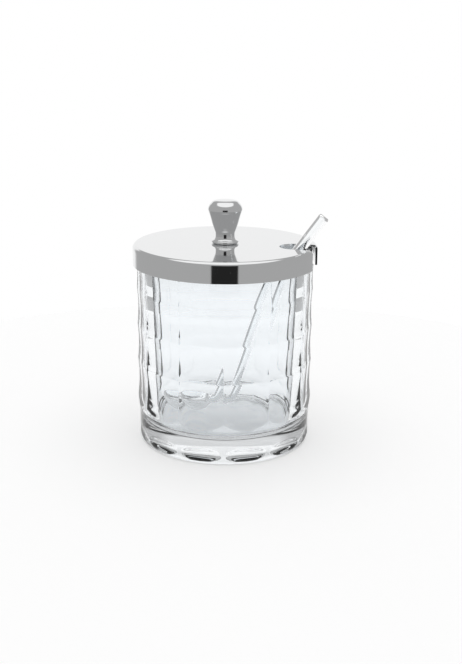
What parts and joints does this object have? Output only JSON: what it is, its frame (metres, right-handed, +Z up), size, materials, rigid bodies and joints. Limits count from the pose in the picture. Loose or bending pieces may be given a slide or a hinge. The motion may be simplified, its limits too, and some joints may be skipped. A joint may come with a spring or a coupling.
{
  "type": "lidded sugar bowl with spoon",
  "caption": "Round faceted glass sugar bowl with a slotted steel lid, a turned knob and a glass spoon that leans out through the slot.",
  "frame": {"origin": "on the jar's axis, at the flat base that it stands on", "axes": "+Z up along the jar's axis; +X points to a corner of the jar's twelve sides, and the lid's slot is turned 13.7 degrees from it towards -Y"},
  "size_m": [0.0942, 0.09, 0.1202],
  "materials": {
    "clear_glass": "polished, colourless pressed glass",
    "polished_steel": "mirror polished stainless steel",
    "plain_steel": "plain turned and stamped steel"
  },
  "bodies": {
    "jar": {"glass_jar": "clear_glass"},
    "lid": {"lid_cap": "polished_steel", "knob": "polished_steel", "knob_screw": "plain_steel", "screw_washer": "plain_steel"},
    "spoon": {"spoon": "clear_glass"}
  },
  "joints": [
    {"name": "lid_lift", "type": "slide", "parent": "jar", "child": "lid", "axis": [0, 0, 1], "range_m": [0, 0.06]},
    {"name": "spoon_lift", "type": "slide", "parent": "jar", "child": "spoon", "axis": [0.4106, -0.1001, 0.9063], "range_m": [0, 0.072]}
  ]
}
